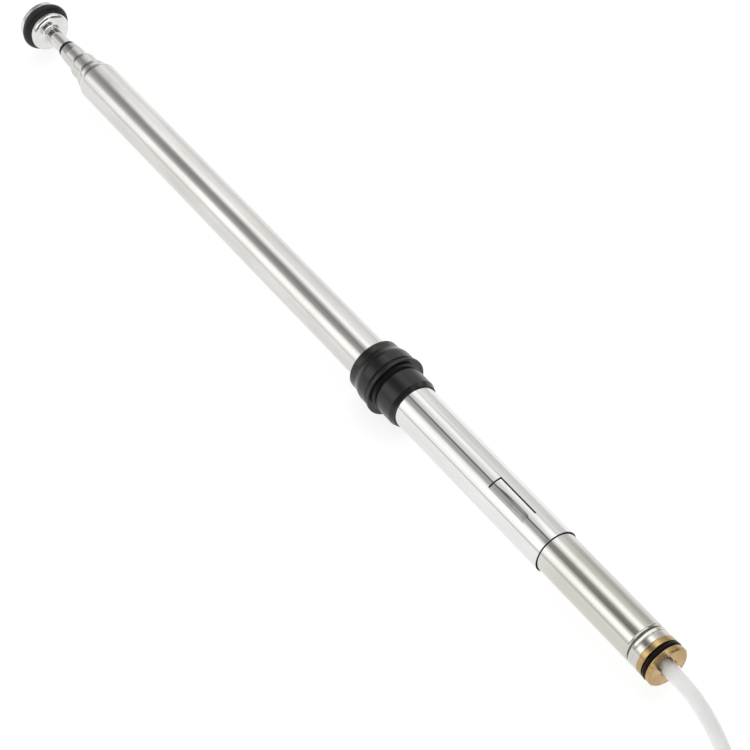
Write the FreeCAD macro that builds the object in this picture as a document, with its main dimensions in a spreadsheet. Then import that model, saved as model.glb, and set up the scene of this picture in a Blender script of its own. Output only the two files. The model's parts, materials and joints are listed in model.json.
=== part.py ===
"""Telescopic mast of a motor-driven car radio aerial: five chromed sections and their nylon drive cable.

Millimetres. The mast is collapsed and lies along X on the floor z = 0, its cap at -X and its cable end at +X.
Each mast piece is turned about its own local X axis and is measured from its own head end."""

import FreeCAD, Part
import math
import os

import Sketcher

# Driving dimensions: alias, value in mm (or degrees where it says so), meaning.
SIZES = [
    ("section_1_diameter", 8.5, "outer diameter of the base tube"),
    ("section_2_diameter", 7.2, "outer diameter of the second tube"),
    ("section_3_diameter", 5.9, "outer diameter of the third tube"),
    ("section_4_diameter", 4.6, "outer diameter of the fourth tube"),
    ("rod_diameter", 3.4, "diameter of the top rod"),
    ("tube_wall", 0.3, "wall of every tube"),
    ("slide_gap", 0.05, "radial clearance between sliding pieces"),
    ("section_1_top", -80.3, "mouth of the base tube"),
    ("section_2_top", -82.5, "mouth of the second tube"),
    ("section_3_top", -86.3, "mouth of the third tube"),
    ("section_4_top", -91.3, "mouth of the fourth tube"),
    ("section_1_end", 101.2, "lower end of the base tube"),
    ("section_2_end", 94.5, "lower end of the second tube"),
    ("section_3_end", 94.0, "lower end of the third tube"),
    ("section_4_end", 93.5, "lower end of the fourth tube"),
    ("guide_length", 3.0, "straight part of a swaged mouth"),
    ("guide_taper", 1.0, "stop shoulder inside a swaged mouth"),
    ("lip_wall", 0.32, "wall at a swaged mouth"),
    ("nose_length", 0.9, "rounded nose of a swaged mouth"),
    ("long_nose", 2.0, "tapered nose of the fourth tube"),
    ("crimp_position", 178.9, "rolled crimp, from the mouth of the base tube"),
    ("crimp_depth", 0.3, "depth of the rolled crimp"),
    ("crimp_half_width", 0.15, "half the flat width of the rolled crimp"),
    ("crimp_slope", 0.25, "width of each side of the rolled crimp"),
    ("bush_length", 7.0, "stop bush at the lower end of a section"),
    ("spring_start", 1.5, "contact spring seat, from the bush's head end"),
    ("spring_length", 4.0, "length of a contact spring"),
    ("spring_seat_depth", 0.12, "depth of the seat turned in a bush"),
    ("spring_rise", 0.02, "how far a contact spring stands proud of its bush"),
    ("spring_sweep", 330.0, "arc of a contact spring, degrees"),
    ("rod_top", -102.6, "top rod's head end, inside the cap"),
    ("rod_end", 88.0, "top rod's lower end"),
    ("wiper_reach", 0.9, "how far the wiper ring stands out of its tube"),
    ("wiper_seat", 0.5, "how deep the wiper ring sits in its tube"),
    ("wiper_radius", 1.87, "outer radius of the wiper ring"),
    ("cap_top", -104.7, "crown of the cap"),
    ("cap_dome_height", 1.6, "height of the cap's crown"),
    ("cap_dome_radius", 4.65, "radius of the cap's crown at its foot"),
    ("cap_seat_start", 2.4, "seal groove, from the crown"),
    ("cap_seat_radius", 2.65, "radius at the bottom of the cap's seal groove"),
    ("cap_skirt_start", 5.0, "skirt below the seal groove, from the crown"),
    ("cap_skirt_radius", 4.3, "radius of the skirt"),
    ("cap_skirt_end", 6.6, "underside of the skirt, from the crown"),
    ("cap_skirt_fillet", 0.9, "rounding of the skirt's lower edge"),
    ("cap_neck_radius", 2.0, "neck round the rod"),
    ("cap_neck_end", 7.3, "lower end of the neck, from the crown"),
    ("cap_neck_fillet", 0.5, "cove between neck and skirt"),
    ("cap_seal_ring", 3.95, "centreline radius of the cap's seal ring"),
    ("cap_seal_section", 1.3, "section radius of the cap's seal ring"),
    ("grommet_start", 18.9, "head end of the grommet"),
    ("grommet_shoulder", 5.35, "radius of the grommet's rounded rim"),
    ("grommet_drum", 5.55, "radius of the grommet's upper drum"),
    ("grommet_drum_end", 1.9, "end of the upper drum, from the rim"),
    ("grommet_band", 6.1, "radius of the grommet's band"),
    ("grommet_band_start", 3.2, "start of the band, from the rim"),
    ("grommet_notch", 5.9, "bottom of the shallow notch, from the rim"),
    ("grommet_notch_depth", 0.2, "depth of the shallow notch"),
    ("grommet_notch_half", 0.3, "half the width of the shallow notch"),
    ("grommet_band_end", 6.25, "end of the band, from the rim"),
    ("flange_radius", 6.4, "radius of the seating flange, on which the mast lies"),
    ("flange_start", 6.45, "full radius of the flange, from the rim"),
    ("flange_end", 7.05, "seating face of the flange, from the rim"),
    ("flange_cove", 0.2, "bevel between the seating face and the groove behind it"),
    ("grommet_neck", 4.95, "radius of the groove behind the flange"),
    ("grommet_neck_end", 8.05, "end of that groove, from the rim"),
    ("grommet_foot", 5.2, "radius of the grommet's lower drum"),
    ("grommet_foot_end", 12.1, "end of the lower drum, from the rim"),
    ("grommet_length", 13.0, "length of the grommet"),
    ("grommet_lip", 1.6, "length of the lip that wipes the base tube"),
    ("sleeve_length", 53.4, "length of the contact sleeve"),
    ("sleeve_wall", 0.24, "wall of the contact sleeve"),
    ("sleeve_gap", 0.04, "radial clearance of the sleeve on the base tube"),
    ("sleeve_bell", 0.16, "how much wider the sleeve's head is, inside the grommet"),
    ("sleeve_bell_taper", 0.5, "length of the taper below that head"),
    ("tongue_angle", 18.2, "turn of the sleeve's spring tongue about X, degrees"),
    ("tongue_tip", 37.5, "free end of the tongue, from the sleeve's head end"),
    ("tongue_root", 47.3, "root of the tongue, from the sleeve's head end"),
    ("tongue_half_width", 1.2, "half the width of the tongue"),
    ("tongue_tip_slit", 0.4, "slit at the tongue's free end"),
    ("tongue_wide_slit", 0.4, "slit along one side of the tongue"),
    ("tongue_thin_slit", 0.2, "slit along its other side"),
    ("plug_start", 95.4, "head end of the end plug, inside the base tube"),
    ("plug_bore", 1.7, "radius of the cable's bore through the plug"),
    ("plug_crimp_seat", 2.75, "seat of the rolled crimp, from the plug's head end"),
    ("plug_crimp_width", 1.3, "width of that seat"),
    ("plug_crimp_radius", 3.58, "radius of that seat"),
    ("plug_land_start", 5.8, "rear land, from the plug's head end"),
    ("plug_groove_start", 7.0, "seal groove, from the plug's head end"),
    ("plug_groove_radius", 3.15, "radius at the bottom of the plug's seal groove"),
    ("plug_front_start", 8.2, "front land, from the plug's head end"),
    ("plug_length", 9.4, "length of the plug"),
    ("plug_chamfer", 0.35, "chamfer of the plug's face"),
    ("plug_seal_ring", 3.72, "centreline radius of the plug's seal ring"),
    ("plug_seal_section", 0.57, "section radius of the plug's seal ring"),
    ("slot_width", 3.0, "screwdriver slot across the plug's face"),
    ("slot_depth", 1.0, "depth of that slot"),
    ("slot_angle", 28.2, "turn of the slot about X from upright, degrees"),
    ("cable_diameter", 2.8, "diameter of the nylon drive cable"),
    ("ferrule_radius", 1.85, "radius of the ferrule on the rod's lower end"),
    ("ferrule_length", 6.0, "length of the ferrule"),
    ("ferrule_socket", 5.0, "depth of the cable's socket in the ferrule"),
    ("cable_joint", 100.0, "where the inner and the free cable meet, in the plug"),
    ("hank_centre", 162.5, "middle of the wound hank of cable"),
    ("hank_run", 33.0, "straight run of the hank between its two ends"),
    ("hank_radius", 12.7, "outer radius of the hank's ends"),
    ("hank_layers", 4.0, "layers of cable in the hank"),
    ("hank_columns", 2.0, "turns side by side in each layer"),
    ("tie_thickness", 0.4, "thickness of the ties, on which the hank lies"),
    ("tie_width", 4.0, "width of a tie"),
]

SECTIONS = (1, 2, 3, 4)  # the tubes; the top rod slides in the last of them

# The free cable's route, from the joint inside the plug to the hank's lowest outer turn.
CABLE_ROUTE = [
    (100.0, 0.0, 6.4),
    (107.4, 0.0, 6.4),
    (113.1, 0.2, 4.9),
    (119.6, -0.6, 2.2),
    (126.6, -3.6, 1.45),
    (133.2, -7.5, 1.45),
    (139.6, -10.7, 1.7),
    (146.0, -11.3, 1.8),
]

doc = FreeCAD.newDocument("telescopic_mast")
sheet = doc.addObject("Spreadsheet::Sheet", "dim")
for row, (alias, size, meaning) in enumerate(SIZES, start=1):
    sheet.set(f"A{row}", meaning)
    sheet.set(f"B{row}", str(size))
    sheet.setAlias(f"B{row}", alias)
doc.recompute()

nodes = []


def number(expression):
    """What an expression of the sheet's aliases comes to."""
    return float(sheet.evalExpression(str(expression)))


def node(piece, label):
    """Name a sub-part and put it on the list of those that are written."""
    piece.Label = label
    nodes.append(piece)
    return piece


def place(piece, along, turn="0", across="0", height="dim.flange_radius"):
    """Put a piece's local origin on the mast's axis at the given X, turned about X by some degrees."""
    piece.Placement.Rotation = FreeCAD.Rotation(FreeCAD.Vector(1, 0, 0), number(turn))
    piece.setExpression(".Placement.Base.x", along)
    piece.setExpression(".Placement.Base.y", across)
    piece.setExpression(".Placement.Base.z", height)


def body_plane(body, role):
    return next(plane for plane in body.Origin.OriginFeatures if plane.Role == role)


def bind_point(sketch, geometry, first, second):
    """Hold the start point of a sketch's line at two sheet expressions; "0" puts it on that axis."""
    for kind, axis, expression in (("DistanceX", -2, first), ("DistanceY", -1, second)):
        if expression == "0":
            sketch.addConstraint(Sketcher.Constraint("PointOnObject", geometry, 1, axis))
            continue
        held = Sketcher.Constraint(kind, -1, 1, geometry, 1, number(expression))
        sketch.setExpression(f"Constraints[{sketch.addConstraint(held)}]", expression)


def outline(body, name, corners, role="XZ_Plane", dome=False):
    """A closed outline through corners given as pairs of expressions.

    With dome, its last side is an arc that bulges about the sketch's own X axis."""
    sketch = body.newObject("Sketcher::SketchObject", name)
    sketch.AttachmentSupport = (body_plane(body, role), "")
    sketch.MapMode = "FlatFace"
    points = [FreeCAD.Vector(number(first), number(second), 0) for first, second in corners]
    sides = len(points)
    for i, point in enumerate(points):
        follower = points[(i + 1) % sides]
        if dome and i == sides - 1:
            radius = (point.y**2 + (point.x - follower.x) ** 2) / (2 * (point.x - follower.x))
            crown = FreeCAD.Vector(follower.x + radius, 0, 0)
            circle = Part.Circle(crown, FreeCAD.Vector(0, 0, 1), radius)
            foot_angle = math.atan2(point.y, point.x - crown.x)
            sketch.addGeometry(Part.ArcOfCircle(circle, foot_angle, math.pi))
            sketch.addConstraint(Sketcher.Constraint("PointOnObject", i, 3, -1))
        else:
            sketch.addGeometry(Part.LineSegment(point, follower))
    for i in range(sides):
        sketch.addConstraint(Sketcher.Constraint("Coincident", i, 2, (i + 1) % sides, 1))
    for i, (first, second) in enumerate(corners):
        bind_point(sketch, i, first, second)
    return sketch


def turned(label, corners, along, turn="0", dome=False, sweep="360"):
    """A piece turned about its local X axis from an outline of (along, radius) corners."""
    body = node(doc.addObject("PartDesign::Body", label), label)
    sketch = outline(body, label + "_outline", corners, dome=dome)
    revolution = body.newObject("PartDesign::Revolution", label + "_turned")
    revolution.Profile = sketch
    revolution.ReferenceAxis = (sketch, ["H_Axis"])
    revolution.setExpression("Angle", sweep)
    place(body, along, turn)
    doc.recompute()
    return body


def round_edges(body, name, circles, radius):
    """Round the circular edges of a turned piece that lie at the given (along, radius) places."""
    before = body.Tip
    found = []
    for i, edge in enumerate(before.Shape.Edges, start=1):
        if edge.Degenerated or not isinstance(edge.Curve, Part.Circle):
            continue
        for along, reach in circles:
            centre = edge.Curve.Center
            if abs(centre.x - number(along)) < 1e-3 and abs(edge.Curve.Radius - number(reach)) < 1e-3:
                found.append(f"Edge{i}")
    if len(found) != len(circles):
        raise ValueError(f"{name}: {len(found)} of {len(circles)} edges found")
    fillet = body.newObject("PartDesign::Fillet", name)
    fillet.Base = (before, found)
    fillet.setExpression("Radius", radius)
    body.Tip = fillet
    doc.recompute()


def pocket(body, name, sketch, depth, reverse=False, both_ways=False):
    """Cut a sketch into a body and make sure that it takes material away."""
    before = body.Shape.Volume
    cut = body.newObject("PartDesign::Pocket", name)
    cut.Profile = sketch
    cut.Reversed = reverse
    cut.Midplane = both_ways
    cut.setExpression("Length", depth)
    doc.recompute()
    if body.Shape.Volume > before - 1e-4:
        raise ValueError(name + " cuts nothing")


def section_tube(section):
    """One tube: a swaged mouth that guides the next section and stops its bush, then a plain bore."""
    outer = f"dim.section_{section}_diameter / 2"
    inner_piece = "dim.rod_diameter" if section == SECTIONS[-1] else f"dim.section_{section + 1}_diameter"
    mouth = f"{inner_piece} / 2 + dim.slide_gap"
    bore = f"{outer} - dim.tube_wall"
    nose = "dim.long_nose" if section == SECTIONS[-1] else "dim.nose_length"
    length = f"dim.section_{section}_end - dim.section_{section}_top"
    corners = [("0", f"{mouth} + dim.lip_wall"), (nose, outer)]
    if section == 1:
        corners += crimp(outer)
    corners += [(length, outer), (length, bore)]
    if section == 1:
        corners += crimp(bore)[::-1]
    corners += [("dim.guide_length + dim.guide_taper", bore), ("dim.guide_length", mouth)]
    if section == SECTIONS[-1]:
        seat = "dim.wiper_radius"
        corners += [("dim.wiper_seat", mouth), ("dim.wiper_seat", seat), ("0", seat)]
    else:
        corners += [("0", mouth)]
    label = "base_tube" if section == 1 else f"section_{section}_tube"
    return turned(label, corners, f"dim.section_{section}_top")


def crimp(surface):
    """The four corners that a rolled crimp gives a tube's surface."""
    low = f"{surface} - dim.crimp_depth"
    start, end = (f"dim.crimp_position {sign} dim.crimp_half_width" for sign in "-+")
    return [
        (f"{start} - dim.crimp_slope", surface), (start, low),
        (end, low), (f"{end} + dim.crimp_slope", surface),
    ]


def stop_bush(name, core, bore, end):
    """A brass ring pressed on a section's lower end, with a seat for its contact spring."""
    outer = f"{bore} - dim.slide_gap"
    seat = f"{outer} - dim.spring_seat_depth"
    seat_end = "dim.spring_start + dim.spring_length"
    corners = [
        ("0", core), ("0", outer), ("dim.spring_start", outer), ("dim.spring_start", seat),
        (seat_end, seat), (seat_end, outer), ("dim.bush_length", outer), ("dim.bush_length", core),
    ]
    turned(name + "_stop_bush", corners, f"{end} - dim.bush_length")
    proud = f"{outer} + dim.spring_rise"
    strip = [("0", seat), ("0", proud), ("dim.spring_length", proud), ("dim.spring_length", seat)]
    start = f"{end} - dim.bush_length + dim.spring_start"
    turned(name + "_contact_spring", strip, start, sweep="dim.spring_sweep")


def cylinder(label, radius, start, end):
    """A plain round bar along the mast's axis."""
    bar = node(doc.addObject("Part::Cylinder", label), label)
    bar.setExpression("Radius", radius)
    bar.setExpression("Height", f"({end}) - ({start})")
    lay_along_x(bar, start)


def seal_ring(label, ring, section, along):
    """A rubber ring of round section about the mast's axis."""
    torus = node(doc.addObject("Part::Torus", label), label)
    torus.setExpression("Radius1", ring)
    torus.setExpression("Radius2", section)
    lay_along_x(torus, along)


def lay_along_x(piece, along):
    """Turn a primitive's own Z axis to X and set it on the mast's axis."""
    place(piece, along)
    piece.Placement.Rotation = FreeCAD.Rotation(FreeCAD.Vector(0, 1, 0), 90)


def cap():
    """The turned cap: a shallow crown, a groove for the seal, a skirt with a round edge and a neck."""
    socket = "dim.rod_top - dim.cap_top"
    corners = [
        ("0", "0"), (socket, "0"), (socket, "dim.rod_diameter / 2"),
        ("dim.cap_neck_end", "dim.rod_diameter / 2"), ("dim.cap_neck_end", "dim.cap_neck_radius"),
        ("dim.cap_skirt_end", "dim.cap_neck_radius"), ("dim.cap_skirt_end", "dim.cap_skirt_radius"),
        ("dim.cap_skirt_start", "dim.cap_skirt_radius"), ("dim.cap_skirt_start", "dim.cap_seat_radius"),
        ("dim.cap_seat_start", "dim.cap_seat_radius"), ("dim.cap_seat_start", "dim.cap_dome_radius"),
        ("dim.cap_dome_height", "dim.cap_dome_radius"),
    ]
    body = turned("cap", corners, "dim.cap_top", dome=True)
    round_edges(body, "skirt_edge", [("dim.cap_skirt_end", "dim.cap_skirt_radius")], "dim.cap_skirt_fillet")
    round_edges(body, "neck_cove", [("dim.cap_skirt_end", "dim.cap_neck_radius")], "dim.cap_neck_fillet")
    middle = "dim.cap_top + (dim.cap_seat_start + dim.cap_skirt_start) / 2"
    seal_ring("cap_seal_ring", "dim.cap_seal_ring", "dim.cap_seal_section", middle)


def grommet():
    """The rubber grommet: rim, drum, notched band, thin seating flange, neck and lower drum."""
    tube = "dim.section_1_diameter / 2 + dim.sleeve_gap"
    sleeve = f"{tube} + dim.sleeve_wall"
    bell, bell_end = f"{sleeve} + dim.sleeve_bell", "dim.grommet_length - dim.sleeve_bell_taper"
    corners = [
        ("0", tube), ("0", "dim.grommet_drum"), ("dim.grommet_drum_end", "dim.grommet_drum"),
        ("dim.grommet_band_start", "dim.grommet_band"),
        ("dim.grommet_notch - dim.grommet_notch_half", "dim.grommet_band"),
        ("dim.grommet_notch", "dim.grommet_band - dim.grommet_notch_depth"),
        ("dim.grommet_notch + dim.grommet_notch_half", "dim.grommet_band"),
        ("dim.grommet_band_end", "dim.grommet_band"), ("dim.flange_start", "dim.flange_radius"),
        ("dim.flange_end", "dim.flange_radius"), ("dim.flange_end", "dim.grommet_foot + dim.flange_cove"),
        ("dim.flange_end + dim.flange_cove", "dim.grommet_neck"),
        ("dim.grommet_neck_end", "dim.grommet_neck"), ("dim.grommet_neck_end", "dim.grommet_foot"),
        ("dim.grommet_foot_end", "dim.grommet_foot"), ("dim.grommet_length", f"{sleeve} + dim.tube_wall"),
        ("dim.grommet_length", sleeve), (bell_end, bell),
        ("dim.grommet_lip", bell), ("dim.grommet_lip", tube),
    ]
    body = turned("sealing_grommet", corners, "dim.grommet_start")
    rim = "dim.grommet_drum - dim.grommet_shoulder"
    round_edges(body, "grommet_rim", [("0", "dim.grommet_drum")], rim)


def contact_sleeve():
    """The thin chromed sleeve, with a tongue that is slit free on three sides to press on the base tube."""
    inner = "dim.section_1_diameter / 2 + dim.sleeve_gap"
    outer = f"{inner} + dim.sleeve_wall"
    taper_end = "dim.grommet_length - dim.grommet_lip"
    taper_start = f"{taper_end} - dim.sleeve_bell_taper"
    corners = [
        ("0", f"{inner} + dim.sleeve_bell"), ("0", f"{outer} + dim.sleeve_bell"),
        (taper_start, f"{outer} + dim.sleeve_bell"), (taper_end, outer),
        ("dim.sleeve_length", outer), ("dim.sleeve_length", inner),
        (taper_end, inner), (taper_start, f"{inner} + dim.sleeve_bell"),
    ]
    body = turned("contact_sleeve", corners, "dim.grommet_start + dim.grommet_lip", turn="dim.tongue_angle")
    half, root = "dim.tongue_half_width", "dim.tongue_root"
    slit = [
        (root, f"-{half}"), (root, f"-{half} - dim.tongue_thin_slit"),
        ("dim.tongue_tip - dim.tongue_tip_slit", f"-{half} - dim.tongue_thin_slit"),
        ("dim.tongue_tip - dim.tongue_tip_slit", f"{half} + dim.tongue_wide_slit"),
        (root, f"{half} + dim.tongue_wide_slit"), (root, half),
        ("dim.tongue_tip", half), ("dim.tongue_tip", f"-{half}"),
    ]
    sketch = outline(body, "tongue_slit", slit, role="XY_Plane")
    pocket(body, "tongue_cut", sketch, "dim.section_1_diameter", reverse=True)


def end_plug():
    """The brass plug: a spigot held by the crimp, two lands with a seal between them, a slotted face."""
    bore = "dim.plug_bore"
    spigot = "dim.section_1_diameter / 2 - dim.tube_wall"
    land = "dim.section_1_diameter / 2"
    seat_end = "dim.plug_crimp_seat + dim.plug_crimp_width"
    corners = [
        ("0", bore), ("0", spigot), ("dim.plug_crimp_seat", spigot),
        ("dim.plug_crimp_seat", "dim.plug_crimp_radius"), (seat_end, "dim.plug_crimp_radius"),
        (seat_end, spigot), ("dim.plug_land_start", spigot), ("dim.plug_land_start", land),
        ("dim.plug_groove_start", land), ("dim.plug_groove_start", "dim.plug_groove_radius"),
        ("dim.plug_front_start", "dim.plug_groove_radius"), ("dim.plug_front_start", land),
        ("dim.plug_length - dim.plug_chamfer", land), ("dim.plug_length", f"{land} - dim.plug_chamfer"),
        ("dim.plug_length", bore),
    ]
    body = turned("end_plug", corners, "dim.plug_start", turn="dim.slot_angle")
    floor, face = "dim.plug_length - dim.slot_depth", "dim.plug_length + dim.slot_depth"
    half = "dim.slot_width / 2"
    slot = [(floor, f"-{half}"), (face, f"-{half}"), (face, half), (floor, half)]
    sketch = outline(body, "slot_outline", slot, role="XY_Plane")
    pocket(body, "slot_cut", sketch, "dim.section_1_diameter * 2", both_ways=True)
    middle = "dim.plug_start + (dim.plug_groove_start + dim.plug_front_start) / 2"
    seal_ring("plug_seal_ring", "dim.plug_seal_ring", "dim.plug_seal_section", middle)


def rod_and_ferrule():
    """The solid top rod, and at its lower end the ferrule that holds the inner cable."""
    cylinder("top_rod", "dim.rod_diameter / 2", "dim.rod_top", "dim.rod_end")
    cable = "dim.cable_diameter / 2"
    floor = "dim.ferrule_length - dim.ferrule_socket"
    corners = [
        ("0", "0"), ("0", "dim.ferrule_radius"), ("dim.ferrule_length", "dim.ferrule_radius"),
        ("dim.ferrule_length", cable), (floor, cable), (floor, "0"),
    ]
    turned("cable_ferrule", corners, "dim.rod_end")
    cylinder("cable_core", cable, f"dim.rod_end + {floor}", "dim.cable_joint")


def wiper_ring():
    """The black ring in the fourth tube's mouth that wipes the rod."""
    inner = "dim.rod_diameter / 2 + dim.slide_gap / 2"
    length = "dim.wiper_reach + dim.wiper_seat"
    corners = [("0", inner), ("0", "dim.wiper_radius"), (length, "dim.wiper_radius"), (length, inner)]
    turned("rod_wiper_ring", corners, "dim.section_4_top - dim.wiper_reach")


def free_cable():
    """The cable along its route: straight runs joined by tangent arcs as large as the runs allow."""
    points = [FreeCAD.Vector(*point) for point in CABLE_ROUTE]
    edges, last, radii = [], points[0], []
    for before, corner, after in zip(points, points[1:], points[2:]):
        to_before, to_after = before - corner, after - corner
        turn = math.pi - to_before.getAngle(to_after)
        reach = 0.45 * min(to_before.Length, to_after.Length)
        radii.append(reach / math.tan(turn / 2))
        start = corner + to_before.normalize() * reach
        end = corner + to_after.normalize() * reach
        bisector = (to_before + to_after).normalize()
        depth = radii[-1] * (1 / math.cos(turn / 2) - 1)
        edges += [
            Part.LineSegment(last, start).toShape(),
            Part.Arc(start, corner + bisector * depth, end).toShape(),
        ]
        last = end
    edges.append(Part.LineSegment(last, points[-1]).toShape())
    path = Part.Wire(edges)
    radius = number("dim.cable_diameter / 2")
    first_way = (points[1] - points[0]).normalize()
    section = Part.Wire(Part.makeCircle(radius, points[0], first_way))
    cable = node(doc.addObject("Part::Feature", "drive_cable"), "drive_cable")
    cable.Shape = path.makePipeShell([section], True, False)
    due = math.pi * radius**2 * path.Length
    print("cable arcs, mm:", " ".join(f"{radius:.1f}" for radius in radii))
    print(f"free cable before the hank {path.Length:.1f} mm, volume {cable.Shape.Volume / due:.4f} of due")


def stadium(name, radius, height, base):
    """A block with two straight sides and two round ends, about the hank's middle."""
    tools = []
    run = doc.addObject("Part::Box", name + "_run")
    for side, size in (("Length", "dim.hank_run"), ("Width", f"2 * ({radius})"), ("Height", height)):
        run.setExpression(side, size)
    place(run, "dim.hank_centre - dim.hank_run / 2", across=f"-({radius})", height=base)
    tools.append(run)
    for end, sign in (("head", "-"), ("far", "+")):
        bend = doc.addObject("Part::Cylinder", f"{name}_{end}")
        bend.setExpression("Radius", radius)
        bend.setExpression("Height", height)
        place(bend, f"dim.hank_centre {sign} dim.hank_run / 2", height=base)
        tools.append(bend)
    block = doc.addObject("Part::MultiFuse", name)
    block.Shapes = tools
    block.Refine = True
    return block


def hank():
    """The rest of the cable, wound in a long neat hank that lies on its two ties."""
    width = "dim.hank_columns * dim.cable_diameter"
    height = "dim.hank_layers * dim.cable_diameter"
    wound = node(doc.addObject("Part::Cut", "drive_cable_hank"), "drive_cable_hank")
    wound.Base = stadium("hank_outside", "dim.hank_radius", height, "dim.tie_thickness")
    hollow_height = f"{height} + 2 * dim.tie_thickness"
    wound.Tool = stadium("hank_inside", f"dim.hank_radius - {width}", hollow_height, "0")
    for name, across in (("left", f"-dim.hank_radius"), ("right", f"dim.hank_radius - {width}")):
        tie = node(doc.addObject("Part::Cut", f"hank_tie_{name}"), f"hank_tie_{name}")
        tie.Base = tie_box(tie.Name + "_outside", across, width, height, "dim.tie_thickness")
        tie.Tool = tie_box(tie.Name + "_inside", across, width, height, "0")


def tie_box(name, across, width, height, margin):
    """A box about one side of the hank, larger than it by the margin above, below and beside it."""
    box = doc.addObject("Part::Box", name)
    box.setExpression("Length", "dim.tie_width")
    box.setExpression("Width", f"{width} + 2 * {margin}")
    box.setExpression("Height", f"{height} + 2 * {margin}")
    middle = "dim.hank_centre - dim.tie_width / 2"
    place(box, middle, across=f"{across} - {margin}", height=f"dim.tie_thickness - {margin}")
    return box


for tube in SECTIONS:
    section_tube(tube)
for tube in SECTIONS[1:]:
    core = f"dim.section_{tube}_diameter / 2"
    parent_bore = f"dim.section_{tube - 1}_diameter / 2 - dim.tube_wall"
    stop_bush(f"section_{tube}", core, parent_bore, f"dim.section_{tube}_end")
stop_bush("rod", "dim.rod_diameter / 2", "dim.section_4_diameter / 2 - dim.tube_wall", "dim.rod_end")
rod_and_ferrule()
wiper_ring()
cap()
grommet()
contact_sleeve()
end_plug()
free_cable()
hank()
doc.recompute()

faults = [item.Label for item in doc.Objects if {"Invalid", "Error"} & set(item.State)]
faults += [item.Label for item in nodes if item.Shape.isNull() or not item.Shape.isValid()]
if faults:
    raise ValueError("failed objects: " + ", ".join(faults))

os.makedirs("parts", exist_ok=True)
for item in nodes:
    item.Shape.exportStep(f"parts/{item.Label}.step")
    box = item.Shape.BoundBox
    print(f"{item.Label:26s} {len(item.Shape.Solids)} solid, {item.Shape.Volume:8.1f} mm3,",
          f"x {box.XMin:.2f} to {box.XMax:.2f}, z {box.ZMin:.2f} to {box.ZMax:.2f}")
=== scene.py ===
"""Looks of the telescopic mast with its drive cable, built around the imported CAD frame.

Lengths are metres, in the CAD's own frame. Every turned piece's outline is in millimetres from its own node's
head end, like the CAD's outlines."""

import json
import math

import bmesh
import bpy
from mathutils import Matrix, Vector

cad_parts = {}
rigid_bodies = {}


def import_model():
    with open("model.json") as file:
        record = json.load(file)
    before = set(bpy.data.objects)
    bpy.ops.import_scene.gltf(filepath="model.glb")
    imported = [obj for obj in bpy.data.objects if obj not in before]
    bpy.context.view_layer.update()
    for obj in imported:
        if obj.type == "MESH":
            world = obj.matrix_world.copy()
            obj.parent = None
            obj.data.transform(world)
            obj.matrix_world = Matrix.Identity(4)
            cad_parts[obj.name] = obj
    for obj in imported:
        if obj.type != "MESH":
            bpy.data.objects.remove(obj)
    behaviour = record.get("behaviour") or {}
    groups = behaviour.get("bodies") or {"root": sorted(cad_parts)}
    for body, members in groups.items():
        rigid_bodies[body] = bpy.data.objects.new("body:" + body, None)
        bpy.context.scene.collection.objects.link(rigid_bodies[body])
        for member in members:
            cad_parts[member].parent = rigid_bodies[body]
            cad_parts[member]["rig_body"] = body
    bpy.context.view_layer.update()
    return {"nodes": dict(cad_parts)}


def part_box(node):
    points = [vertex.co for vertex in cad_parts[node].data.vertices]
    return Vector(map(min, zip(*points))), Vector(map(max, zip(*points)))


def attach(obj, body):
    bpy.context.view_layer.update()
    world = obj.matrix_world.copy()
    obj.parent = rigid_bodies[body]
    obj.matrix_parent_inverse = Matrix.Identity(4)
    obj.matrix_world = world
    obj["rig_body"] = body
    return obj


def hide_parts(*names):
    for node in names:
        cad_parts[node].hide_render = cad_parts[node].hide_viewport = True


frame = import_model()
MM = 0.001
tube_low, tube_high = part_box("base_tube")
AXIS_Z = (tube_low.z + tube_high.z) / 2
TUBE_RADIUS = (tube_high.z - tube_low.z) / 2 / MM
TURN_STEPS = 128  # sides of a turned piece
ARC_STEP = math.radians(12)  # how finely a rounded corner is divided


# ---------------------------------------------------------------- camera

CAMERA_AZIMUTH = math.radians(54.6)
CAMERA_HEIGHT = math.radians(47.2)
CAMERA_DISTANCE = 0.4929
CAMERA_LENS_MM = 127.2
AIM_PAST_TUBE_MIDDLE = Vector((10.35, -1.06, -0.57)) * MM


def make_camera():
    """A level camera that looks down at the mast from its cable end."""
    aim = Vector(((tube_low.x + tube_high.x) / 2, 0, AXIS_Z)) + AIM_PAST_TUBE_MIDDLE
    back = Vector((
        math.sin(CAMERA_AZIMUTH) * math.cos(CAMERA_HEIGHT),
        -math.cos(CAMERA_AZIMUTH) * math.cos(CAMERA_HEIGHT),
        math.sin(CAMERA_HEIGHT),
    ))
    camera = bpy.data.objects.new("camera", bpy.data.cameras.new("camera"))
    camera.data.lens = CAMERA_LENS_MM
    camera.data.sensor_width = 36
    camera.data.clip_start = 0.01
    camera.location = aim + back * CAMERA_DISTANCE
    camera.rotation_euler = back.to_track_quat("Z", "Y").to_euler()
    bpy.context.scene.collection.objects.link(camera)
    bpy.context.scene.camera = camera


# ---------------------------------------------------------------- the free cable

CABLE_RADIUS = 1.4 * MM
# From the joint inside the plug to the hank's lowest outer turn: the same points as the CAD tube's route.
CABLE_ROUTE = [
    (0.1000, 0.0, 0.0064),
    (0.1074, 0.0, 0.0064),
    (0.1131, 0.0002, 0.0049),
    (0.1196, -0.0006, 0.0022),
    (0.1266, -0.0036, 0.00145),
    (0.1332, -0.0075, 0.00145),
    (0.1396, -0.0107, 0.0017),
]
HANK_LAYERS = 4
RUN_STEPS = 4  # points along a straight side of the hank
BEND_STEPS = 6  # points round one of its ends
HALF_TURN = RUN_STEPS + BEND_STEPS
TAIL_STEP = HALF_TURN + 2  # the cable's end lies in the second tie


def eased(step, first, last):
    """0 before the first step, 1 after the last, and even in between."""
    return min(1.0, max(0.0, (step - first) / (last - first)))


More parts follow.
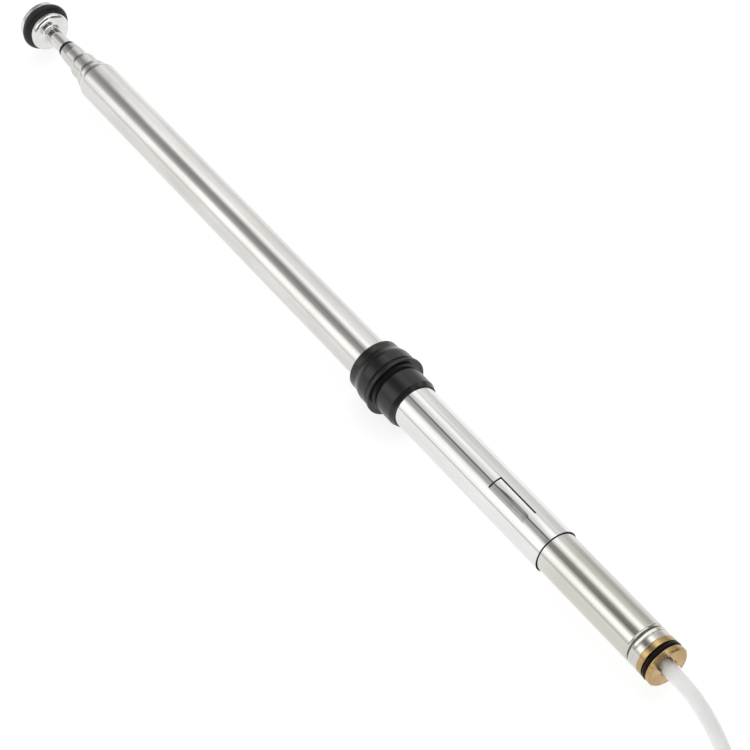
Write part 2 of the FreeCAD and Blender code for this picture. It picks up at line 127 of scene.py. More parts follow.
def hank_points():
    """The wound cable: four turns up the outside, then down the inside, each a diameter from the next.

    Near the head end the inner turns drop a layer, then the top outer turn moves in, then the others
    climb."""
    low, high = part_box("drive_cable_hank")
    reach = (high.y - low.y) / 2 - CABLE_RADIUS
    near_x, far_x = low.x + reach + CABLE_RADIUS, high.x - reach - CABLE_RADIUS
    pitch = 2 * CABLE_RADIUS
    bend_gain = 1 / math.cos(math.pi / BEND_STEPS / 2)  # a spline cuts inside the points of a bend
    points = []
    for turn in range(2 * HANK_LAYERS):
        outside = turn < HANK_LAYERS
        top_outer = turn == HANK_LAYERS - 1
        last = turn == 2 * HANK_LAYERS - 1
        for step in range(TAIL_STEP + 1 if last else 2 * HALF_TURN):
            layer = turn if outside else 2 * HANK_LAYERS - 1 - turn
            inward = 0.0 if outside else 1.0
            if top_outer:
                inward = eased(step, HALF_TURN + RUN_STEPS, HALF_TURN + RUN_STEPS + 2)
            elif outside:
                layer += eased(step, HALF_TURN + RUN_STEPS + 2, 2 * HALF_TURN - 1)
            else:
                layer -= eased(step, HALF_TURN + RUN_STEPS - 2, HALF_TURN + RUN_STEPS)
            radius = reach - pitch * inward
            half, along = divmod(step, HALF_TURN)
            side = 1 if half else -1
            if along < RUN_STEPS:
                share = along / RUN_STEPS
                start, end = (near_x, far_x) if half == 0 else (far_x, near_x)
                x, y = start + (end - start) * share, side * radius
            else:
                angle = math.pi * ((along - RUN_STEPS) / BEND_STEPS - 0.5 + half)
                gain = 1 if along == RUN_STEPS else bend_gain
                centre = near_x if half else far_x
                x, y = centre + gain * radius * math.cos(angle), gain * radius * math.sin(angle)
            points.append((x, y, low.z + CABLE_RADIUS + layer * pitch))
    return points


def make_cable(material):
    """The drive cable on one smooth line, from inside the plug to its bare end in the hank."""
    curve = bpy.data.curves.new("drive_cable_free", "CURVE")
    curve.dimensions = "3D"
    curve.resolution_u = 8
    curve.bevel_depth = CABLE_RADIUS
    curve.bevel_resolution = 7
    curve.use_fill_caps = True
    route = CABLE_ROUTE + hank_points()
    spline = curve.splines.new("NURBS")
    spline.points.add(len(route) - 1)
    for point, place in zip(spline.points, route):
        point.co = (*place, 1)
    spline.order_u = 3
    spline.use_endpoint_u = True
    curve.materials.append(material)
    cable = bpy.data.objects.new("drive_cable_free", curve)
    bpy.context.scene.collection.objects.link(cable)
    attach(cable, "base")
    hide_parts("drive_cable", "drive_cable_hank")
    return cable


# ---------------------------------------------------------------- turned pieces


def rounded(corners):
    """Round off a closed outline of (along, radius, rounding) corners.

    Gives (place, normal of the side before, normal of the side after) for each point of the result."""
    places = [Vector(corner[:2]) for corner in corners]
    if sum(place.cross(after) for place, after in zip(places, places[1:] + places[:1])) < 0:
        corners, places = corners[::-1], places[::-1]
    stations = []
    for i, place in enumerate(places):
        way_in = (place - places[i - 1]).normalized()
        way_out = (places[(i + 1) % len(places)] - place).normalized()
        turn = math.atan2(way_in.cross(way_out), way_in.dot(way_out))
        bulge = math.copysign(corners[i][2], turn)
        start = place - way_in * abs(bulge) * math.tan(abs(turn) / 2)
        steps = math.ceil(abs(turn) / ARC_STEP) if bulge else 1
        first = Vector((way_in.y, -way_in.x))
        normals = [Matrix.Rotation(turn * step / steps, 2) @ first for step in range(steps + 1)]
        if bulge:
            centre = start - normals[0] * bulge
            made = [(centre + normal * bulge, normal, normal) for normal in normals]
        else:
            made = [(place, normals[0], normals[1])]
        if stations and (stations[-1][0] - made[0][0]).length < 1e-6:
            made[0] = (made[0][0], stations.pop()[1], made[0][2])
        stations += made
    if (stations[-1][0] - stations[0][0]).length < 1e-6:
        stations[0] = (stations[0][0], stations.pop()[1], stations[0][2])
    return stations


def add_quad(faces, normals, corners):
    """Add a face from (vertex, normal) corners, leaving out a vertex that repeats."""
    kept = [corner for i, corner in enumerate(corners) if corner[0] != corners[i - 1][0]]
    faces.append([vertex for vertex, _ in kept])
    normals.extend(normal for _, normal in kept)


def finished_mesh(name, vertices, faces, normals):
    """A mesh shaded by the normals given for each corner of each face."""
    mesh = bpy.data.meshes.new(name)
    mesh.from_pydata(vertices, [], faces)
    mesh.polygons.foreach_set("use_smooth", [True] * len(faces))
    mesh.normals_split_custom_set(normals)
    mesh.update()
    return mesh


def turned(name, corners, start):
    """A mesh turned about the mast's axis: its outline, measured from start, also gives its normals."""
    stations = rounded(corners)
    vertices, rings, faces, normals = [], [], [], []
    angles = [2 * math.pi * k / TURN_STEPS for k in range(TURN_STEPS)]
    turns = [(math.sin(angle), math.cos(angle)) for angle in angles]
    for (along, radius), _, _ in stations:
        first, on_axis = len(vertices), radius < 1e-6
        rings.append([first if on_axis else first + k for k in range(TURN_STEPS)])
        for across, up in turns[:1] if on_axis else turns:
            vertices.append((start + along * MM, radius * across * MM, AXIS_Z + radius * up * MM))
    for i in range(len(stations)):
        follower = (i + 1) % len(stations)
        if rings[i][0] == rings[i][1] and rings[follower][0] == rings[follower][1]:
            continue
        for k in range(TURN_STEPS):
            quad = []
            for ring, side, turn in ((i, 2, k), (i, 2, k + 1), (follower, 1, k + 1), (follower, 1, k)):
                turn %= TURN_STEPS
                across, up = turns[turn]
                slant = stations[ring][side]
                quad.append((rings[ring][turn], (slant.x, slant.y * across, slant.y * up)))
            add_quad(faces, normals, quad)
    return finished_mesh(name, vertices, faces, normals)


def stand_in(mesh, node, slot, *materials):
    """Show a mesh in place of a CAD node, on that node's own body."""
    piece = bpy.data.objects.new(node + "_finished", mesh)
    bpy.context.scene.collection.objects.link(piece)
    for material in materials:
        mesh.materials.append(material)
    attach(piece, frame["nodes"][node]["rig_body"])
    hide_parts(node)
    return piece


def turned_piece(node, corners, slot, material):
    """A turned piece in a CAD node's place; its outline starts at the node's head end."""
    return stand_in(turned(node, corners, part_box(node)[0].x), node, slot, material)


def ring_corners(inner, outer):
    """The outline of a ring of round section, from its least and largest radius."""
    section = (outer - inner) / 2
    return [
        (0, inner, section), (0, outer, section),
        (2 * section, outer, section), (2 * section, inner, section),
    ]


# ---------------------------------------------------------------- materials

MICROMETRE = 1e-6
NOISE_REACH = 0.2  # noise mostly stays this close to a half
DENTS = (0.3, 0.4, 0.4)  # repeats of the shallow dents per millimetre
WORN_FROM, WORN_FULLY = 0.51, 0.58  # how pointed an edge is where its finish is worn


def add(tree, kind, settings=None, **inputs):
    """Add a shader node. Each input is given a value, or another node's output to follow."""
    made = tree.nodes.new("ShaderNode" + kind)
    for name, value in (settings or {}).items():
        setattr(made, name, value)
    for name, value in inputs.items():
        socket = made.inputs[name.replace("_", " ")]
        if isinstance(value, bpy.types.NodeSocket):
            tree.links.new(value, socket)
        else:
            socket.default_value = value
    return made


def calculate(tree, operation, first, second=0.0):
    """The output of a Math node."""
    made = tree.nodes.new("ShaderNodeMath")
    made.operation = operation
    for socket, value in zip(made.inputs, (first, second)):
        if isinstance(value, bpy.types.NodeSocket):
            tree.links.new(value, socket)
        else:
            socket.default_value = value
    return made.outputs[0]


def noise(tree, place, scale, detail=3.0):
    """A noise pattern whose repeats per millimetre are given for x, y and z."""
    stretched = add(tree, "VectorMath", {"operation": "MULTIPLY"})
    tree.links.new(place, stretched.inputs[0])
    stretched.inputs[1].default_value = scale
    pattern = add(tree, "TexNoise", Vector=stretched.outputs[0], Scale=1.0, Detail=detail)
    return pattern.outputs["Fac"]


def spread(tree, value, low, high):
    """A noise value, which stays near a half, spread from low to high."""
    ranged = add(
        tree, "MapRange", Value=value,
        From_Min=0.5 - NOISE_REACH, From_Max=0.5 + NOISE_REACH, To_Min=low, To_Max=high)
    return ranged.outputs["Result"]


def share_between(tree, value, start, end):
    """0 where a value is start or less, 1 where it is end or more, and even in between."""
    return add(tree, "MapRange", Value=value, From_Min=start, From_Max=end).outputs["Result"]


def blend(tree, share, under, over):
    """Under where the share is 0 and over where it is 1; each is a colour or another node's output."""
    mix = add(tree, "Mix", {"data_type": "RGBA"}, Factor=share)
    for label, value in (("A", under), ("B", over)):
        if isinstance(value, bpy.types.NodeSocket):
            tree.links.new(value, mix.inputs[label])
        else:
            mix.inputs[label].default_value = (*value, 1)
    return mix.outputs["Result"]


def finish(name, colours, roughness, cloud, grain, relief, metallic=0.0, dents=0.0, lathe=False, wear=None,
           dull=None, **shader_inputs):
    """A material of two colours in clouds, with a grain that changes gloss and height, and worn edges.

    Cloud and grain are repeats per millimetre; relief and dents are heights in micrometres. A lathe's grain
    runs round the mast. Dull is the stretch along the mast, in millimetres, over which the colour turns to a
    third one."""
    material = bpy.data.materials.new(name)
    material.use_nodes = True
    tree = material.node_tree
    shader = tree.nodes["Principled BSDF"]
    coordinates = add(tree, "TexCoord").outputs["Object"]
    place = add(tree, "VectorMath", {"operation": "SCALE"}, Vector=coordinates, Scale=1 / MM).outputs[0]
    grain_place = place
    if lathe:
        parts = add(tree, "SeparateXYZ", Vector=place).outputs
        height = calculate(tree, "SUBTRACT", parts["Z"], AXIS_Z / MM)
        squares = [calculate(tree, "MULTIPLY", side, side) for side in (parts["Y"], height)]
        radius = calculate(tree, "SQRT", calculate(tree, "ADD", *squares))
        grain_place = add(tree, "CombineXYZ", X=parts["X"], Y=radius).outputs[0]
    clouds = noise(tree, place, cloud)
    lines = noise(tree, grain_place, grain, detail=5.0)
    shade = blend(tree, spread(tree, clouds, 0.0, 1.0), *colours)
    if dull:
        start, end, tarnish = dull
        along = add(tree, "SeparateXYZ", Vector=place).outputs["X"]
        dulled = calculate(
            tree, "MULTIPLY", share_between(tree, along, start, end), spread(tree, clouds, 0.75, 1.0))
        shade = blend(tree, dulled, shade, tarnish)
    if wear:
        edges = add(tree, "NewGeometry").outputs["Pointiness"]
        worn = share_between(tree, edges, WORN_FROM, WORN_FULLY)
        worn = calculate(tree, "MULTIPLY", worn, spread(tree, lines, 0.3, 1.0))
        shade = blend(tree, worn, shade, wear)
    tree.links.new(shade, shader.inputs["Base Color"])
    tree.links.new(spread(tree, lines, *roughness), shader.inputs["Roughness"])
    bump = add(tree, "Bump", Height=lines, Distance=relief * MICROMETRE, Strength=1.0)
    if dents:
        hollows = noise(tree, place, DENTS, 1.0)
        dented = add(tree, "Bump", Height=hollows, Distance=dents * MICROMETRE, Strength=1.0)
        tree.links.new(dented.outputs[0], bump.inputs["Normal"])
    tree.links.new(bump.outputs[0], shader.inputs["Normal"])
    shader.inputs["Metallic"].default_value = metallic
    for label, value in shader_inputs.items():
        shader.inputs[label.replace("_", " ")].default_value = value
    return material


DRAWN = (0.03, 3.5, 3.5)  # grain of lines drawn along the mast
FINE = (6.0, 6.0, 6.0)
TOOLED = (9.0, 9.0, 1.0)  # grain of fine rings left by a lathe
SLOW = (0.06, 0.25, 0.25)

plated_tube = finish(
    "plated_tube", ((0.61, 0.595, 0.57), (0.71, 0.70, 0.675)), (0.10, 0.21), SLOW, DRAWN, 2.0,
    metallic=1.0, dents=8.0, dull=(72.0, 80.0, (0.58, 0.565, 0.515)))
inner_plating = finish(
    "inner_plating", ((0.56, 0.55, 0.535), (0.65, 0.64, 0.62)), (0.08, 0.17), SLOW, DRAWN, 1.4,
    metallic=1.0, dents=5.0)
# Painted shade: a dark, part-metal finish that stands in for the shadow in the crimp groove.
crimp_painted_shade = finish(
    "crimp_painted_shade", ((0.07, 0.065, 0.06), (0.20, 0.19, 0.17)), (0.3, 0.5), SLOW, FINE, 3.0, metallic=0.7)
sleeve_chrome = finish(
    "sleeve_chrome", ((0.71, 0.705, 0.69), (0.79, 0.785, 0.77)), (0.035, 0.08), SLOW, DRAWN, 0.5,
    metallic=1.0, dents=4.0)
# Painted shade: a near-black finish on the sleeve's cut end and slit walls, standing in for the shadowed gaps
# there.
cut_edge_painted_shade = finish(
    "sleeve_cut_edge", ((0.004, 0.004, 0.004), (0.012, 0.011, 0.010)), (0.5, 0.7), SLOW, FINE, 4.0,
    Specular_IOR_Level=0.15)
steel_rod = finish(
    "steel_rod", ((0.60, 0.59, 0.585), (0.70, 0.69, 0.685)), (0.08, 0.16), SLOW, DRAWN, 0.8,
    metallic=1.0, dents=3.0)
cap_chrome = finish(
    "cap_chrome", ((0.68, 0.675, 0.66), (0.80, 0.795, 0.78)), (0.04, 0.09), (0.4, 0.4, 0.4), TOOLED, 0.5,
    metallic=1.0, dents=3.0, lathe=True)
grommet_rubber = finish(
    "grommet_rubber", ((0.004, 0.004, 0.004), (0.009, 0.009, 0.009)), (0.16, 0.28), (0.35, 0.35, 0.35),
    FINE, 5.0, dents=16.0, wear=(0.02, 0.02, 0.0195), Specular_IOR_Level=0.42)
seal_rubber = finish(
    "seal_rubber", ((0.006, 0.006, 0.006), (0.014, 0.013, 0.013)), (0.34, 0.5), (0.6, 0.6, 0.6), FINE, 7.0,
    dents=8.0, wear=(0.03, 0.029, 0.028), Specular_IOR_Level=0.28)
plug_rubber = finish(
    "plug_rubber", ((0.006, 0.003, 0.002), (0.012, 0.007, 0.005)), (0.34, 0.5), (0.8, 0.8, 0.8), FINE, 6.0,
    Specular_IOR_Level=0.12)
brass = finish(
    "brass", ((0.38, 0.26, 0.115), (0.48, 0.33, 0.15)), (0.14, 0.28), (0.5, 0.5, 0.5), TOOLED, 2.5,
    metallic=1.0, lathe=True, wear=(0.72, 0.55, 0.28))
spring_bronze = finish(
    "spring_bronze", ((0.45, 0.26, 0.13), (0.60, 0.38, 0.20)), (0.18, 0.32), (0.8, 0.8, 0.8), DRAWN, 1.0,
    metallic=1.0)
nylon = finish(
    "nylon", ((0.90, 0.90, 0.89), (0.96, 0.955, 0.945)), (0.32, 0.48), (0.15, 0.3, 0.3), (0.3, 2.0, 2.0), 6.0,
    dents=10.0, Subsurface_Weight=0.35, Subsurface_Scale=0.0012, Subsurface_Radius=(1.0, 0.95, 0.85))
tie_plastic = finish(
    "tie_plastic", ((0.014, 0.014, 0.015), (0.028, 0.028, 0.03)), (0.3, 0.46), (0.5, 0.5, 0.5), FINE, 6.0,
    wear=(0.06, 0.06, 0.062))


# ---------------------------------------------------------------- the mast's turned pieces

TUBE_WALL = 0.3
SLIDE_GAP = 0.05
LIP_WALL = 0.32
NOSE = 0.9
LONG_NOSE = 2.0  # the fourth tube's tapered nose
WIPER_SEAT = 0.5
CRIMP = 178.9  # the rolled crimp, from the base tube's mouth
CRIMP_SHAPE = (0.3, 0.15, 0.25)  # its depth, half its flat width and the width of each side
BAND_STEP = 0.06  # how much the crimp draws in the tube's end
LINE_PAST_CRIMP = 1.2
LINE_SHAPE = (0.06, 0.06, 0.12)  # a fine groove past the crimp, given like the crimp's shape
PAINTED_SHADE_REACH, PAINTED_SHADE_DEPTH = 0.2, 0.33  # how far to each side of the crimp's middle the painted shade lies, and how deep
CAP_SEAL = (2.65, 5.25)  # least and largest radius
PLUG_SEAL = (3.15, 4.29)


def size_of(node):
    """The length along the mast and the outer radius of a CAD node, in millimetres."""
    low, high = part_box(node)
    return (high.x - low.x) / MM, (high.z - low.z) / 2 / MM


def groove(middle, surface, depth, half_width, slope):
    """The corners of a rolled groove in a tube's surface."""
    return [
        (middle - half_width - slope, surface, slope), (middle - half_width, surface - depth, 0.1),
        (middle + half_width, surface - depth, 0.1), (middle + half_width + slope, surface, slope),
    ]


def tube_corners(node, inner_node):
    """A tube whose swaged mouth guides the piece inside it, with rolled grooves near the base tube's end."""
    length, outer = size_of(node)
    mouth = size_of(inner_node)[1] + SLIDE_GAP
    bore, last, base = outer - TUBE_WALL, inner_node == "top_rod", node == "base_tube"
    nose = LONG_NOSE if last else NOSE
    corners = [(0, mouth + LIP_WALL, 0.13), (nose, outer, 1.2)]
    if base:
        corners += groove(CRIMP, outer, *CRIMP_SHAPE)
        corners += groove(CRIMP + LINE_PAST_CRIMP, outer - BAND_STEP, *LINE_SHAPE)
    corners += [(length, outer - BAND_STEP * base, 0.1), (length, bore, 0.05)]
    if base:
        corners += groove(CRIMP, bore, *CRIMP_SHAPE)[::-1]
    corners += [(4.0, bore, 0), (3.0, mouth, 0)]
    if last:
        wiper = size_of("rod_wiper_ring")[1]
        return corners + [(WIPER_SEAT, mouth, 0), (WIPER_SEAT, wiper, 0), (0, wiper, 0.03)]
    return corners + [(0, mouth, 0.1)]


def paint_shade_in_crimp(tube):
    """Paint shade into the crimp of the base tube: the deep faces of its groove get a dark finish."""
    tube.data.materials.append(crimp_painted_shade)
    crimp_x = tube_low.x + CRIMP * MM
    # Faces near the crimp's middle and deep in its groove take the painted shade.
    for face in tube.data.polygons:
        off_axis = math.hypot(face.center.y, face.center.z - AXIS_Z) / MM
        near = abs(face.center.x - crimp_x) < PAINTED_SHADE_REACH * MM
        face.material_index = int(near and off_axis > TUBE_RADIUS - PAINTED_SHADE_DEPTH)


def make_mast():
    """The nested tubes, the rod with its cap, the seals and the grommet."""
    nested = ["base_tube", "section_2_tube", "section_3_tube", "section_4_tube", "top_rod"]
    for node, inner_node in zip(nested, nested[1:]):
        plating = plated_tube if node == "base_tube" else inner_plating
        tube = turned_piece(node, tube_corners(node, inner_node), "plated_tube", plating)
        if node == "base_tube":
            paint_shade_in_crimp(tube)
    length, radius = size_of("top_rod")
    rod = [(0, 0, 0), (0, radius, 0.2), (length, radius, 0.2), (length, 0, 0)]
    turned_piece("top_rod", rod, "steel_rod", steel_rod)
    length, outer = size_of("rod_wiper_ring")
    inner = radius + SLIDE_GAP / 2
    wiper = [(0, inner, 0.05), (0, outer, 0.08), (length, outer, 0.05), (length, inner, 0)]
    turned_piece("rod_wiper_ring", wiper, "seal_rubber", seal_rubber)
    turned_piece("cap", cap_corners(radius), "cap_chrome", cap_chrome)
    turned_piece("cap_seal_ring", ring_corners(*CAP_SEAL), "seal_rubber", seal_rubber)
    turned_piece("plug_seal_ring", ring_corners(*PLUG_SEAL), "seal_rubber", plug_rubber)
    turned_piece("sealing_grommet", grommet_corners(), "grommet_rubber", grommet_rubber)


def cap_corners(rod):
    """A shallow crown, a groove for the seal, a skirt with a round lower edge and a neck round the rod."""
    crown_height, crown_radius = 1.6, 4.65
    sphere = (crown_radius**2 + crown_height**2) / (2 * crown_height)
    tangent = sphere * math.tan(math.asin(crown_radius / sphere) / 2)
    return [
        (0, 0, 0), (0, tangent, sphere), (crown_height, crown_radius, 0.2), (2.4, crown_radius, 0.15),
        (2.4, 2.65, 0), (5.0, 2.65, 0), (5.0, 4.3, 0.15), (6.6, 4.3, 0.9), (6.6, 2.0, 0.5), (7.3, 2.0, 0.12),
        (7.3, rod, 0), (2.1, rod, 0), (2.1, 0, 0),
    ]


def grommet_corners():
    """Rim, drum, band with a shallow notch, thin seating flange, groove, lower drum and its lip."""
    return [
        (0, 4.29, 0.08), (0, 5.55, 0.2), (1.9, 5.55, 3.0), (3.2, 6.1, 3.0), (5.6, 6.1, 0.1),
        (5.9, 5.9, 0.12), (6.2, 6.1, 0.06), (6.25, 6.1, 0.05), (6.45, 6.4, 0.1), (7.05, 6.4, 0.15),
        (7.05, 5.4, 0.1), (7.25, 4.95, 0.1), (8.05, 4.95, 0.1), (8.05, 5.2, 0.1), (12.1, 5.2, 0.2),
        (13.0, 4.83, 0.08), (13.0, 4.53, 0.04),
        (12.5, 4.69, 0), (1.6, 4.69, 0), (1.6, 4.29, 0),
    ]


# ---------------------------------------------------------------- the contact sleeve

SLEEVE_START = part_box("contact_sleeve")[0].x
SLEEVE_LENGTH = size_of("contact_sleeve")[0]
SLEEVE_RADIUS = 4.53
SLEEVE_WALL = 0.24
BELL = 0.16  # how much wider the sleeve's head is, inside the grommet
BELL_END, BELL_TAPER_END = 10.9, 11.4
TONGUE_TURN = math.radians(18.2)
TONGUE_TIP, TONGUE_ROOT = 37.5, 47.3
TIP_SLIT_START = 37.1
TONGUE_HALF = 1.2
THIN_SLIT_EDGE, WIDE_SLIT_EDGE = -1.4, 1.6
TONGUE_PRESS = 0.018  # how far the tongue's middle is pressed toward the tube
SIDE_PRESS, SIDE_EDGE, SIDE_SPREAD = 0.045, 0.08, 0.2  # its side at the thin slit is pressed in more
EDGE_BREAK = 0.04  # the small bevel at the sleeve's lower edge


def sleeve_surface(along, angle):
    """The sleeve's outer radius: its belled head, its trimmed lower edge and its pressed tongue."""
    radius = SLEEVE_RADIUS + BELL * (1 - eased(along, BELL_END, BELL_TAPER_END))
    across = SLEEVE_RADIUS * math.sin(angle)
    within = abs(across) < TONGUE_HALF + 0.01 and math.cos(angle) > 0
    if within and TONGUE_TIP - 0.01 < along < TONGUE_ROOT:
        bend = 1 - eased(along, TONGUE_TIP, TONGUE_ROOT) ** 2
        radius -= TONGUE_PRESS * bend * (1 - 0.6 * (across / TONGUE_HALF) ** 2)
        fade = eased(along, TONGUE_TIP + 0.5, TONGUE_TIP + 6)
        fade *= 1 - eased(along, TONGUE_ROOT - 1, TONGUE_ROOT)
        radius -= SIDE_PRESS * fade * (1 - math.tanh((across - SIDE_EDGE) / SIDE_SPREAD)) / 2
    return radius - EDGE_BREAK * eased(along, SLEEVE_LENGTH - EDGE_BREAK, SLEEVE_LENGTH)


def sleeve_place(along, angle, depth=0.0):
    """A point of the sleeve in the row frame, at an angle about the mast from the tongue's middle."""
    radius = (sleeve_surface(along, angle) - depth) * MM
    turn = angle - TONGUE_TURN
    return Vector((SLEEVE_START + along * MM, radius * math.sin(turn), AXIS_Z + radius * math.cos(turn)))


def in_slit(along, across):
    """Whether the middle of a cell of the sleeve lies in the slit round the tongue."""
    beside = THIN_SLIT_EDGE < across < -TONGUE_HALF or TONGUE_HALF < across < WIDE_SLIT_EDGE
    at_tip = TIP_SLIT_START < along < TONGUE_TIP and THIN_SLIT_EDGE < across < WIDE_SLIT_EDGE
    return at_tip or (beside and TONGUE_TIP < along < TONGUE_ROOT)


def make_sleeve():
    """A thin sheet rolled round the base tube, built cell by cell so that the slit can be left open."""
    along = [0, 0.04, BELL_END, BELL_TAPER_END, BELL_TAPER_END + 0.1, 20.0, 30.0, TIP_SLIT_START]
    along += [TONGUE_TIP + (TONGUE_ROOT - TONGUE_TIP) * k / 12 for k in range(13)]
    along += [SLEEVE_LENGTH - EDGE_BREAK * k for k in (2, 1, 0)]
    edges = [THIN_SLIT_EDGE, -TONGUE_HALF, TONGUE_HALF, WIDE_SLIT_EDGE]
    marks = [math.asin(edge / SLEEVE_RADIUS) for edge in edges]
    angles = []
    for mark, after in zip(marks, marks[1:] + [marks[0] + 2 * math.pi]):
        finer = 1 if after > math.pi else 3
        steps = math.ceil((after - mark) / (2 * math.pi / TURN_STEPS) * finer)
        angles += [mark + (after - mark) * k / steps for k in range(steps)]
    columns = len(angles)
    angles.append(marks[0] + 2 * math.pi)
    vertices, faces, normals, painted_shade_walls = [], [], [], []
    for depth in (0.0, SLEEVE_WALL):
        for x in along:
            vertices += [sleeve_place(x, angle, depth) for angle in angles[:-1]]

    def vertex(row, column, inner):
        """The number of a grid point's vertex, on the outer or the inner side."""
        return (inner * len(along) + row) * columns + column % columns

    def slope(row, column, inner):
        """The surface's normal at a grid point, from its neighbours a little way off."""
        x, angle, step = along[row], angles[column], 1e-3
        lengthwise = sleeve_place(x + step, angle) - sleeve_place(x - step, angle)
        around = sleeve_place(x, angle + step) - sleeve_place(x, angle - step)
        return around.cross(lengthwise).normalized() * (-1 if inner else 1)

    def present(row, column):
        """Whether a cell of the grid is sheet, and not slit or past an end."""
        if not 0 <= row < len(along) - 1:
            return False
        column %= columns
        middle = (angles[column] + angles[column + 1]) / 2
        across = SLEEVE_RADIUS * math.sin(middle) if math.cos(middle) > 0 else math.inf
        return not in_slit((along[row] + along[row + 1]) / 2, across)

    def add_wall(first, second):
        """The sheet's edge between two grid points, seen from the open side."""
        quad = [vertex(*first, 0), vertex(*second, 0), vertex(*second, 1), vertex(*first, 1)]
        a, b, c = (Vector(vertices[i]) for i in quad[:3])
        flat = (b - a).cross(c - b).normalized()
        painted_shade_walls.append(len(faces))
        add_quad(faces, normals, [(i, flat) for i in quad])

    for row in range(len(along) - 1):
        for column in range(columns):
            if not present(row, column):
                continue
            corners = [(row, column), (row, column + 1), (row + 1, column + 1), (row + 1, column)]
            for inner in (0, 1):
                order = corners[::-1] if inner else corners
                quad = [(vertex(*corner, inner), slope(*corner, inner)) for corner in order]
                add_quad(faces, normals, quad)
            sides = [(row - 1, column), (row, column + 1), (row + 1, column), (row, column - 1)]
            for k, side in enumerate(sides):
                if not present(*side):
                    add_wall(corners[(k + 1) % 4], corners[k])
    used = sorted({i for face in faces for i in face})
    renumbered = {old: new for new, old in enumerate(used)}
    faces = [[renumbered[i] for i in face] for face in faces]
    mesh = finished_mesh("contact_sleeve_finished", [vertices[i] for i in used], faces, normals)
    stand_in(mesh, "contact_sleeve", "sleeve_chrome", sleeve_chrome, cut_edge_painted_shade)
    # The sleeve's end and slit walls take the painted shade finish.
    for face in painted_shade_walls:
        mesh.polygons[face].material_index = 1


# ---------------------------------------------------------------- the end plug

SLOT_TURN = math.radians(28.2)
SLOT_WIDTH = 3.0
SLOT_DEPTH = 1.0
PLUG_OUTLINE = [
    (0, 1.7, 0.05), (0, 3.95, 0.3), (2.75, 3.95, 0), (2.75, 3.58, 0), (4.05, 3.58, 0), (4.05, 3.95, 0),
    (5.8, 3.95, 0), (5.8, 4.25, 0.1), (7.0, 4.25, 0.12), (7.0, 3.15, 0), (8.2, 3.15, 0), (8.2, 4.25, 0.12),
    (9.05, 4.25, 0.12), (9.4, 3.9, 0.12), (9.4, 1.7, 0.08),
]


def make_plug():
    """The turned plug, with a screwdriver slot milled across its face."""
    start, end = (corner.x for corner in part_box("end_plug"))
    plug = stand_in(turned("end_plug_finished", PLUG_OUTLINE, start), "end_plug", "brass", brass)
    cutter_mesh = bpy.data.meshes.new("slot_cutter")
    shape = bmesh.new()
    bmesh.ops.create_cube(shape, size=1.0)
    size = (2 * SLOT_DEPTH * MM, SLOT_WIDTH * MM, 4 * TUBE_RADIUS * MM)
    turn = Matrix.Rotation(SLOT_TURN, 4, "X")
    place = Matrix.Translation((end, 0, AXIS_Z)) @ turn @ Matrix.Diagonal((*size, 1))
    bmesh.ops.transform(shape, matrix=place, verts=shape.verts)
    shape.to_mesh(cutter_mesh)
    shape.free()
    cutter = bpy.data.objects.new("slot_cutter", cutter_mesh)
    bpy.context.scene.collection.objects.link(cutter)
    cut = plug.modifiers.new("slot", "BOOLEAN")
    cut.operation, cut.object, cut.solver = "DIFFERENCE", cutter, "EXACT"
    bpy.context.view_layer.update()
    milled = bpy.data.meshes.new_from_object(plug.evaluated_get(bpy.context.evaluated_depsgraph_get()))
    plug.modifiers.clear()
    plug.data = milled
    bpy.data.objects.remove(cutter)
    milled.set_sharp_from_angle(angle=math.radians(28))
    even = plug.modifiers.new("even_shading", "WEIGHTED_NORMAL")
    even.keep_sharp = True


# ---------------------------------------------------------------- the hank's ties

TIE_STEPS = 6  # steps round each of a tie's corners
TIE_WALL = 0.4
TIE_CORNER = 1.7  # outer radius of the strap's corners
TIE_BEVEL = (0.12, 0.08)  # how much the strap's edges are broken, along the mast and in thickness
# The ratchet head and the trimmed tail: how far past the strap, how high, size and rounding.
TIE_BLOCKS = [(1.0, -1.0, (5.4, 2.4, 4.6), 0.5), (0.9, 2.4, (3.6, 0.9, 2.6), 0.2)]


def make_tie(node):
    """A flat strap closed round one side of the hank, with its ratchet head and trimmed tail inside it."""
    low, high = (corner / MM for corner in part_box(node))
    middle = (low + high) / 2
    half_y, half_z = (high.y - low.y) / 2, (high.z - low.z) / 2
    shape = bmesh.new()
    loops = []
    for corner in range(4):
        for step in range(TIE_STEPS + 1):
            angle = math.pi / 2 * (corner + step / TIE_STEPS)
            out = Vector((math.cos(angle), math.sin(angle)))
            side_y = 1 if corner in (0, 3) else -1
            side_z = 1 if corner in (0, 1) else -1
            centre = Vector(((half_y - TIE_CORNER) * side_y, (half_z - TIE_CORNER) * side_z))
            loops.append((centre, out))
    edge = (high.x - low.x) / 2
    flat, step_in = edge - TIE_BEVEL[0], TIE_BEVEL[1]
    section = [
        (-edge, step_in), (-flat, 0.0), (flat, 0.0), (edge, step_in),
        (edge, TIE_WALL - step_in), (flat, TIE_WALL), (-flat, TIE_WALL), (-edge, TIE_WALL - step_in),
    ]
    rings = []
    for centre, out in loops:
        ring = []
        for x, depth in section:
            spot = centre + out * (TIE_CORNER - depth)
            ring.append(shape.verts.new((middle + Vector((x, spot.x, spot.y))) * MM))
        rings.append(ring)
    for ring, follower in zip(rings, rings[1:] + rings[:1]):
        for k in range(len(section)):
            after = (k + 1) % len(section)
            shape.faces.new((ring[k], ring[after], follower[after], follower[k]))
    inward = -1 if middle.y > 0 else 1
    for past, up, size, rounding in TIE_BLOCKS:
        add_block(shape, middle + Vector((0, inward * (half_y + past), up)), size, rounding)
    bmesh.ops.recalc_face_normals(shape, faces=shape.faces)
    mesh = bpy.data.meshes.new(node + "_finished")
    shape.to_mesh(mesh)
    shape.free()
    mesh.polygons.foreach_set("use_smooth", [True] * len(mesh.polygons))
    mesh.set_sharp_from_angle(angle=math.radians(50))
    return stand_in(mesh, node, "tie_plastic", tie_plastic)


